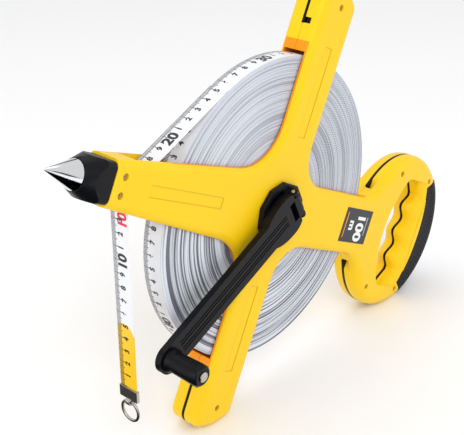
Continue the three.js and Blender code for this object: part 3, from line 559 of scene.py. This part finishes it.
def along_tape(s):
    """The point at that distance from zero, and the way out of the tape there."""
    if s <= HANG_LENGTH:
        return Vector((hang_x, hub.y, end_low.z + s)), Vector((-1, 0, 0))
    if s <= at_roller:
        return Vector((hang_x, hub.y, lead_foot + s - at_arm)), Vector((-1, 0, 0))
    if s <= at_straight:
        angle = pi - (s - at_roller) / WRAP
        out = Vector((cos(angle), 0, sin(angle)))
        return guide + out * WRAP, out
    out = Vector((cos(rise), 0, sin(rise)))
    if s <= at_coil:
        forward = Vector((sin(rise), 0, -cos(rise)))
        return guide + out * WRAP + forward * (s - at_straight), out
    angle = rise - (s - at_coil) / LEAVE
    out = Vector((cos(angle), 0, sin(angle)))
    return hub + out * LEAVE, out


def ribbon(name, start, stop, step):
    """A length of tape as a thin closed strip with its ruler as a UV map."""
    solid = bmesh.new()
    ruled = solid.loops.layers.uv.new("ruler")
    rows = []
    count = max(2, ceil((stop - start) / step))
    for k in range(count + 1):
        s = start + (stop - start) * k / count
        point, out = along_tape(s)
        row = []
        for face in (0.5, -0.5):
            for share in (0.0, 0.5, 1.0):
                offset = Vector((0, (2 * share - 1) * TAPE_HALF, 0))
                vertex = solid.verts.new(point + out * face * TAPE_THICKNESS + offset)
                row.append((vertex, s * 100, share))
        rows.append(row)

    def panel(corners):
        made = solid.faces.new([corner[0] for corner in corners])
        for loop, corner in zip(made.loops, corners):
            loop[ruled].uv = corner[1:]

    for a, b in zip(rows, rows[1:]):
        for i, j in ((0, 1), (1, 2), (2, 5), (5, 4), (4, 3), (3, 0)):
            panel([a[i], a[j], b[j], b[i]])
    for row, order in ((rows[0], (0, 3, 4, 5, 2, 1)), (rows[-1], (0, 1, 2, 5, 4, 3))):
        panel([row[i] for i in order])
    bmesh.ops.recalc_face_normals(solid, faces=solid.faces)
    return shown(name, solid, printed, 40)


TENS_HEIGHT, UNITS_HEIGHT = 0.0078, 0.0042
TENS_SIDE, UNITS_SIDE, EXTRA_SIDE = -0.0012, -0.0004, -0.0030
PRINT_LIFT = 0.00006
LAST_NUMBER = 97
FONT_CAPITAL, STROKE_SHARE = 0.7, 0.06
glyphs = {}


def glyph(text, height):
    """The outline of a printed number as points and faces, centred."""
    if (text, height) not in glyphs:
        curve = bpy.data.curves.new("number", "FONT")
        curve.body = text
        curve.size = height / FONT_CAPITAL
        curve.offset = height * STROKE_SHARE
        curve.align_x = "CENTER"
        curve.align_y = "CENTER"
        letters = bpy.data.objects.new("number", curve)
        bpy.context.scene.collection.objects.link(letters)
        bpy.context.view_layer.update()
        mesh = letters.to_mesh()
        points = [v.co.copy() for v in mesh.vertices]
        faces = [tuple(f.vertices) for f in mesh.polygons]
        glyphs[text, height] = (points, faces)
        bpy.data.objects.remove(letters)
    return glyphs[text, height]


def numbers(name, start, stop, colour, extra=None):
    """The centimetre numbers between two distances, laid on the tape."""
    vertices, faces = [], []
    whole = range(1, LAST_NUMBER + 1)
    printed_at = [(n / 100, str(n if n % 10 == 0 else n % 10)) for n in whole]
    for distance, text in [(extra, "10")] if extra else printed_at:
        if not start < distance < stop:
            continue
        tens = len(text) > 1
        points, loops = glyph(text, TENS_HEIGHT if tens else UNITS_HEIGHT)
        base = len(vertices)
        for p in points:
            spot, out = along_tape(distance + p.x)
            lift = out * (TAPE_THICKNESS / 2 + PRINT_LIFT)
            side = EXTRA_SIDE if extra else TENS_SIDE if tens else UNITS_SIDE
            vertices.append(spot + lift + Vector((0, p.y + side, 0)))
        faces += [tuple(base + i for i in loop) for loop in loops]
    mesh = bpy.data.meshes.new(name)
    mesh.from_pydata(vertices, [], faces)
    mesh.materials.append(colour.material)
    piece = bpy.data.objects.new(name, mesh)
    bpy.context.scene.collection.objects.link(piece)
    return piece


# The outer turn lies pressed into the coil, just under the tape that leaves it.
PRESSED_IN = 0.00065
shrink = (LEAVE - PRESSED_IN) / LEAVE
settle = Matrix.Translation(hub) @ Matrix.Diagonal((shrink, 1, shrink, 1))
settle = settle @ Matrix.Translation(-hub)
full_turn = 2 * pi * LEAVE
outer = ribbon("tape_outer_turn", at_coil + 0.0005, at_coil + full_turn - 0.002, 0.004)
outer.data.transform(settle)
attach(outer, "drum")
last_digit = at_coil + full_turn - 0.006
coil_digits = numbers("tape_numbers_coil", at_coil + 0.004, last_digit, ink)
coil_digits.data.transform(settle)
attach(coil_digits, "drum")

lead = ribbon("tape_to_guide", at_arm, at_coil, 0.0015)
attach(lead, "frame")
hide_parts("tape_lead")
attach(numbers("tape_numbers_lead", at_straight + 0.003, at_coil - 0.002, ink), "frame")

# ------------------------------------------------------------ free tape end
# The first centimetres hang below the arm, held up by the wound coil. A steel
# clasp is folded over the end and carries a wire pull ring.
hanging = ribbon("tape_free_end", 0.0, HANG_LENGTH, 0.004)
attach(hanging, "frame")
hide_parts("tape_end")
digits = numbers("tape_numbers_end", 0.004, HANG_LENGTH - 0.002, ink)
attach(digits, "frame")
RED_NUMBER_AT = 0.1305
reminder = numbers("tape_red_number", 0.0, HANG_LENGTH, red_ink, RED_NUMBER_AT)
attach(reminder, "frame")
clasp = dressed("end_clasp", "tape_clasp", steel, "frame", 0.0003)
ring = dressed("end_ring", "tape_pull_ring", steel, "pull_ring", 0, 60)
route = [tuple(along_tape(HANG_LENGTH * (1 - k / 12))[0]) for k in range(13)]

# ------------------------------------------------------------ length label
# Dark printed plate let into the front of the handle arm: the tape's length
# in white, with a fine white rule and an orange rule.
label_ink = Finish("label white", (0.85, 0.85, 0.86), 0.4)
orange_ink = Finish("label orange", (0.80, 0.26, 0.02), 0.4)
plate = Finish("label plate", (0.012, 0.013, 0.024), 0.34)
gloss = plate.noise(plate.place(), 40.0)
plate.feed("Roughness", 0.28 + gloss * 0.12)
dressed("length_label", "label_plate", plate, "frame", 0.0001)
label_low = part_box("length_label")[0]
LABEL_CENTRE = 0.117
label_y = label_low.y - hub.y - PRINT_LIFT
quarter = Matrix.Rotation(radians(-90), 4, "Z")
upright = Matrix.Rotation(radians(90), 4, "X")


def on_label(name, points, faces, colour, spot, turn):
    """Flat print on the label, centred on a spot of the arm."""
    place = standing @ Matrix.Translation((spot[0], label_y, spot[1])) @ upright @ turn
    mesh = bpy.data.meshes.new(name)
    mesh.from_pydata([place @ p for p in points], [], faces)
    mesh.materials.append(colour.material)
    piece = bpy.data.objects.new(name, mesh)
    bpy.context.scene.collection.objects.link(piece)
    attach(piece, "frame")


def rule(long, wide):
    corners = [(-wide, -long), (wide, -long), (wide, long), (-wide, long)]
    return [Vector((a / 2, b / 2, 0)) for a, b in corners], [(0, 1, 2, 3)]


straight = Matrix.Identity(4)
for name, print_shape, colour, shift, height, turn in (
    ("label_length", glyph("100", 0.0112), label_ink, 0.0050, -0.001, quarter),
    ("label_unit", glyph("m", 0.0078), label_ink, -0.0078, 0.0, quarter),
    ("label_white_rule", rule(0.016, 0.0006), label_ink, 0.0150, 0.001, straight),
    ("label_orange_rule", rule(0.022, 0.0013), orange_ink, -0.0175, 0.0, straight),
):
    on_label(name, *print_shape, colour, (LABEL_CENTRE + shift, height), turn)

# ------------------------------------------------------------ studio
# Pale floor under the reel, a large soft light over the left shoulder, and
# fill from the right and above.
floor_mesh = bpy.data.meshes.new("floor")
FLOOR = 6.0
floor_mesh.from_pydata(
    [(-FLOOR, -FLOOR, 0), (FLOOR, -FLOOR, 0), (FLOOR, FLOOR, 0), (-FLOOR, FLOOR, 0)],
    [], [(0, 1, 2, 3)],
)
floor_mesh.materials.append(Finish("pale floor", (0.93, 0.93, 0.94), 0.8).material)
floor = bpy.data.objects.new("floor", floor_mesh)
bpy.context.scene.collection.objects.link(floor)


def light(name, place, size, power):
    lamp = bpy.data.lights.new(name, "AREA")
    lamp.size = size
    lamp.energy = power
    lit = bpy.data.objects.new(name, lamp)
    lit.location = hub + Vector(place)
    lit.rotation_euler = (-Vector(place)).to_track_quat("-Z", "Y").to_euler()
    bpy.context.scene.collection.objects.link(lit)


light("key", (-0.9, -1.1, 1.3), 0.9, 11)
light("fill", (1.3, -1.2, 0.6), 1.1, 3)
light("top", (0.1, 0.5, 1.6), 1.2, 5)
light("left", (-1.5, 0.3, 0.4), 0.8, 3)


def flag(name, centre, across, along):
    """A black card that only reflections see, for dark bands in the chrome."""
    signs = ((-1, -1), (1, -1), (1, 1), (-1, 1))
    corners = [Vector(centre) + across * a + along * b for a, b in signs]
    card = bpy.data.meshes.new(name)
    card.from_pydata([hub + corner for corner in corners], [], [(0, 1, 2, 3)])
    card.materials.append(flag_black.material)
    made = bpy.data.objects.new(name, card)
    made.visible_camera = False
    made.visible_shadow = False
    made.visible_diffuse = False
    bpy.context.scene.collection.objects.link(made)


flag_black = Finish("flag black", (0.0, 0.0, 0.0), 1.0, Specular_IOR_Level=0.0)
flag("flag_low", (-0.33, -0.13, -0.150), Vector((0.20, 0, 0)), Vector((0, 0.24, 0)))
flag("flag_back", (0.26, 0.58, 0.40), Vector((0.16, -0.12, 0)), Vector((0, 0, 0.09)))
flag("flag_front", (-0.30, -0.85, 0.16), Vector((0.05, 0, 0)), Vector((0, 0.0, 0.20)))

world = bpy.data.worlds.new("studio")
world.use_nodes = True
world.node_tree.nodes["Background"].inputs["Color"].default_value = (1, 1, 1, 1)
world.node_tree.nodes["Background"].inputs["Strength"].default_value = 0.80
bpy.context.scene.world = world

FOCAL_LENGTH = 75.7
CAMERA_TURN, CAMERA_DIP = 48.438, 26.631
CAMERA_FROM_HUB = (-0.50808, -0.41900, 0.32153)
lens = bpy.data.cameras.new("camera")
lens.lens = FOCAL_LENGTH
lens.sensor_width = 36
camera = bpy.data.objects.new("camera", lens)
turn, dip = radians(CAMERA_TURN), radians(CAMERA_DIP)
camera.location = hub + Vector(CAMERA_FROM_HUB)
facing = Vector((sin(turn) * cos(dip), cos(turn) * cos(dip), -sin(dip)))
camera.rotation_euler = facing.to_track_quat("-Z", "Y").to_euler()
bpy.context.scene.collection.objects.link(camera)
bpy.context.scene.camera = camera
bpy.context.scene.view_settings.view_transform = "Standard"
